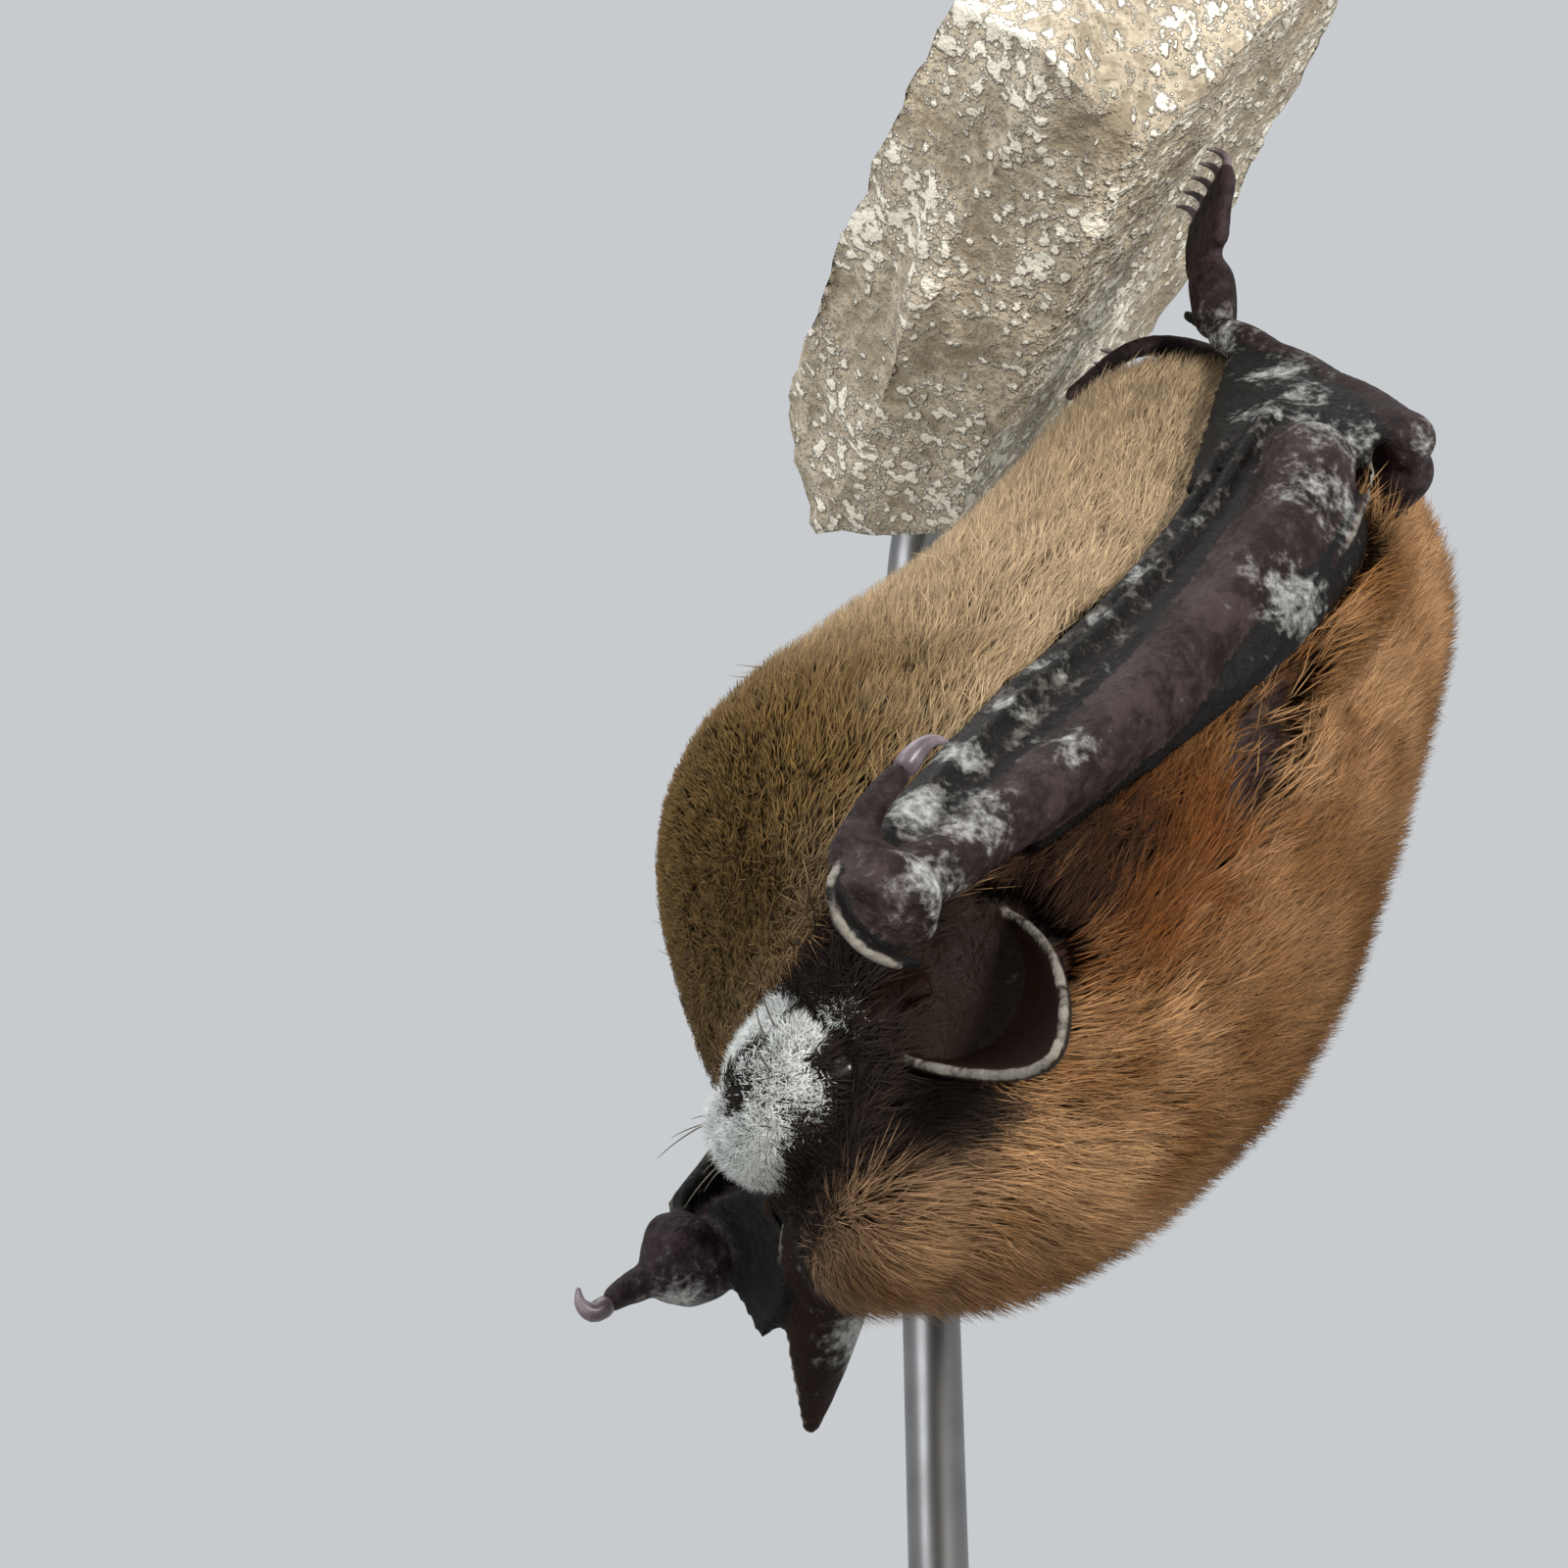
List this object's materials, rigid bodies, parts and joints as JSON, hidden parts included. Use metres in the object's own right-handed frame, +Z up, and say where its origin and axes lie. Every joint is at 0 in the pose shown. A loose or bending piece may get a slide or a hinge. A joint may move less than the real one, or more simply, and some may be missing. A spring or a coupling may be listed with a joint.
{
  "type": "hibernating bat model",
  "caption": "Life-size still model of a small torpid bat hanging head down by its feet from a piece of rock, wings folded, fungus on the muzzle, on a plain stand.",
  "frame": {"origin": "centre of the stand base's underside", "axes": "+Z up; the bat hangs head down, its left side towards +Y, its right side towards -Y, its belly towards -X and the rock"},
  "size_m": [0.084, 0.084, 0.1514],
  "materials": {
    "fur_back": "dense fine fur, russet brown on the back, buff on the belly; hairs are left to the visual",
    "fur_face": "short dark brown fur with a whitish fungal bloom on the muzzle",
    "wing_skin": "thin dark purplish brown naked skin with whitish fungal specks",
    "ear_skin": "thin dark brown naked skin, paler at the rim",
    "eye": "glossy black",
    "rock": "rough grey-buff rock with whitish grains",
    "steel": "satin steel",
    "base_paint": "dark satin paint on wood"
  },
  "bodies": {
    "root": {"trunk": "fur_back", "neck": "fur_back", "head": "fur_face", "ear_left": "ear_skin", "tragus_left": "ear_skin", "eye_left": "eye", "ear_right": "ear_skin", "tragus_right": "ear_skin", "eye_right": "eye", "forearm_left": "wing_skin", "upper_arm_left": "wing_skin", "wrist_left": "wing_skin", "thumb_left": "wing_skin", "folded_hand_left": "wing_skin", "arm_web_left": "wing_skin", "thigh_left": "fur_back", "shin_left": "wing_skin", "foot_left": "wing_skin", "flank_web_left": "wing_skin", "forearm_right": "wing_skin", "upper_arm_right": "wing_skin", "wrist_right": "wing_skin", "thumb_right": "wing_skin", "folded_hand_right": "wing_skin", "arm_web_right": "wing_skin", "thigh_right": "fur_back", "shin_right": "wing_skin", "foot_right": "wing_skin", "flank_web_right": "wing_skin", "tail": "wing_skin", "tail_web_left": "wing_skin", "tail_web_right": "wing_skin", "perch_rock": "rock", "stand_rod": "steel", "stand_base": "base_paint"}
  },
  "joints": []
}
